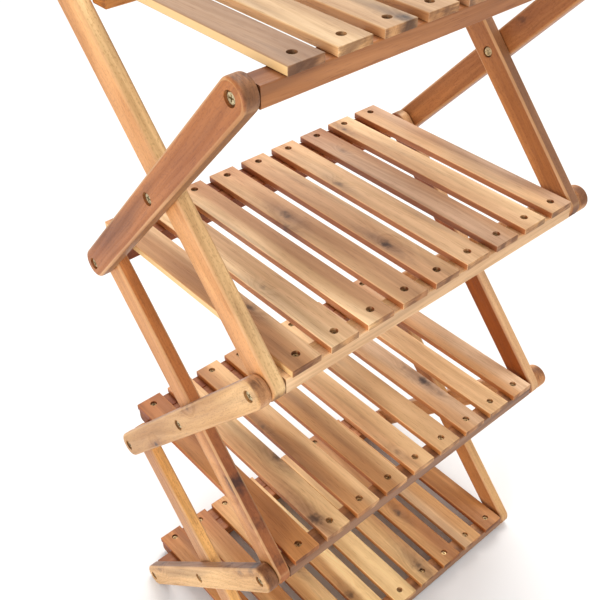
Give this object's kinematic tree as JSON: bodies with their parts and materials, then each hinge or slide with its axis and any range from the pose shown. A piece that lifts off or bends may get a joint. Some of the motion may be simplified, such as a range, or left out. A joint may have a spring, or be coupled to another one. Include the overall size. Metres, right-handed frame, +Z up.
{
  "type": "folding slatted shelf rack",
  "caption": "Folding wooden shelf rack: level slatted shelves between two scissor-leg side frames, each shelf hinged on its front rail and resting on a rear rail.",
  "frame": {"origin": "bottom centre of the open rack's bounding box, on the floor", "axes": "+X to the right along the rails, +Y from the front to the rear along the slats, +Z up"},
  "size_m": [0.602, 0.387, 1.0992],
  "materials": {
    "slat_wood": "oiled acacia, satin",
    "rail_wood": "oiled acacia, satin",
    "batten_wood": "oiled acacia, satin",
    "leg_wood": "oiled acacia, satin",
    "bolt_brass": "yellow zinc plated, satin",
    "screw_steel": "yellow zinc plated, satin",
    "washer_steel": "zinc plated"
  },
  "bodies": {
    "base_rail": {"rear_rail_4": "rail_wood", "rear_bolts_4": "bolt_brass", "rear_washers_4": "washer_steel"},
    "rear_rail_1": {"rear_rail_1": "rail_wood", "rear_bolts_1": "bolt_brass", "rear_washers_1": "washer_steel"},
    "rear_rail_2": {"rear_rail_2": "rail_wood", "rear_bolts_2": "bolt_brass", "rear_washers_2": "washer_steel"},
    "rear_rail_3": {"rear_rail_3": "rail_wood", "rear_bolts_3": "bolt_brass", "rear_washers_3": "washer_steel"},
    "outer_legs_1": {"outer_leg_1_left": "leg_wood", "outer_leg_1_right": "leg_wood", "cross_bolts_1": "bolt_brass", "cross_nuts_1": "bolt_brass", "cross_washers_1": "washer_steel"},
    "inner_legs_1": {"inner_leg_1_left": "leg_wood", "inner_leg_1_right": "leg_wood"},
    "outer_legs_2": {"outer_leg_2_left": "leg_wood", "outer_leg_2_right": "leg_wood", "cross_bolts_2": "bolt_brass", "cross_nuts_2": "bolt_brass", "cross_washers_2": "washer_steel"},
    "inner_legs_2": {"inner_leg_2_left": "leg_wood", "inner_leg_2_right": "leg_wood"},
    "outer_legs_3": {"outer_leg_3_left": "leg_wood", "outer_leg_3_right": "leg_wood", "cross_bolts_3": "bolt_brass", "cross_nuts_3": "bolt_brass", "cross_washers_3": "washer_steel"},
    "inner_legs_3": {"inner_leg_3_left": "leg_wood", "inner_leg_3_right": "leg_wood"},
    "shelf_1": {"slats_1": "slat_wood", "front_rail_1": "rail_wood", "batten_1": "batten_wood", "screws_1": "screw_steel", "front_bolts_1": "bolt_brass", "front_washers_1": "washer_steel"},
    "shelf_2": {"slats_2": "slat_wood", "front_rail_2": "rail_wood", "batten_2": "batten_wood", "screws_2": "screw_steel", "front_bolts_2": "bolt_brass", "front_washers_2": "washer_steel"},
    "shelf_3": {"slats_3": "slat_wood", "front_rail_3": "rail_wood", "batten_3": "batten_wood", "screws_3": "screw_steel", "front_bolts_3": "bolt_brass", "front_washers_3": "washer_steel"},
    "shelf_4": {"slats_4": "slat_wood", "front_rail_4": "rail_wood", "batten_4": "batten_wood", "screws_4": "screw_steel", "front_bolts_4": "bolt_brass", "front_washers_4": "washer_steel"}
  },
  "joints": [
    {"name": "base_turn", "type": "hinge", "parent": "base_rail", "child": "outer_legs_3", "pos_m": [0, 0.1475, 0.019], "axis": [1, 0, 0], "range_deg": [-37.5, 0]},
    {"name": "fold", "type": "hinge", "parent": "outer_legs_3", "child": "inner_legs_3", "pos_m": [0, -0.013, 0.1955], "axis": [1, 0, 0], "range_deg": [0, 75]},
    {"name": "shelf_4_lift", "type": "hinge", "parent": "inner_legs_3", "child": "shelf_4", "pos_m": [0, -0.1735, 0.019], "axis": [1, 0, 0], "range_deg": [0, 52.5]},
    {"name": "rear_rail_3_turn", "type": "hinge", "parent": "inner_legs_3", "child": "rear_rail_3", "pos_m": [0, 0.1475, 0.372], "axis": [1, 0, 0], "range_deg": [-37.5, 0]},
    {"name": "outer_legs_2_turn", "type": "hinge", "parent": "inner_legs_3", "child": "outer_legs_2", "pos_m": [0, 0.1475, 0.372], "axis": [1, 0, 0], "range_deg": [-75, 0]},
    {"name": "shelf_3_lift", "type": "hinge", "parent": "outer_legs_3", "child": "shelf_3", "pos_m": [0, -0.1735, 0.372], "axis": [1, 0, 0], "range_deg": [0, 127.5]},
    {"name": "cross_2_turn", "type": "hinge", "parent": "outer_legs_2", "child": "inner_legs_2", "pos_m": [0, -0.013, 0.5485], "axis": [1, 0, 0], "range_deg": [0, 75]},
    {"name": "rear_rail_2_turn", "type": "hinge", "parent": "inner_legs_2", "child": "rear_rail_2", "pos_m": [0, 0.1475, 0.725], "axis": [1, 0, 0], "range_deg": [-37.5, 0]},
    {"name": "outer_legs_1_turn", "type": "hinge", "parent": "inner_legs_2", "child": "outer_legs_1", "pos_m": [0, 0.1475, 0.725], "axis": [1, 0, 0], "range_deg": [-75, 0]},
    {"name": "shelf_2_lift", "type": "hinge", "parent": "outer_legs_2", "child": "shelf_2", "pos_m": [0, -0.1735, 0.725], "axis": [1, 0, 0], "range_deg": [0, 127.5]},
    {"name": "cross_1_turn", "type": "hinge", "parent": "outer_legs_1", "child": "inner_legs_1", "pos_m": [0, -0.013, 0.9015], "axis": [1, 0, 0], "range_deg": [0, 75]},
    {"name": "rear_rail_1_turn", "type": "hinge", "parent": "inner_legs_1", "child": "rear_rail_1", "pos_m": [0, 0.1475, 1.078], "axis": [1, 0, 0], "range_deg": [-37.5, 0]},
    {"name": "shelf_1_lift", "type": "hinge", "parent": "outer_legs_1", "child": "shelf_1", "pos_m": [0, -0.1735, 1.078], "axis": [1, 0, 0], "range_deg": [0, 127.5]}
  ],
  "couplings": [
    {"joint": "base_turn", "follows": "fold", "ratio": -0.5},
    {"joint": "shelf_4_lift", "follows": "fold", "ratio": 0.7},
    {"joint": "rear_rail_3_turn", "follows": "fold", "ratio": -0.5},
    {"joint": "outer_legs_2_turn", "follows": "fold", "ratio": -1},
    {"joint": "shelf_3_lift", "follows": "fold", "ratio": 1.7},
    {"joint": "cross_2_turn", "follows": "fold", "ratio": 1},
    {"joint": "rear_rail_2_turn", "follows": "fold", "ratio": -0.5},
    {"joint": "outer_legs_1_turn", "follows": "fold", "ratio": -1},
    {"joint": "shelf_2_lift", "follows": "fold", "ratio": 1.7},
    {"joint": "cross_1_turn", "follows": "fold", "ratio": 1},
    {"joint": "rear_rail_1_turn", "follows": "fold", "ratio": -0.5},
    {"joint": "shelf_1_lift", "follows": "fold", "ratio": 1.7}
  ]
}
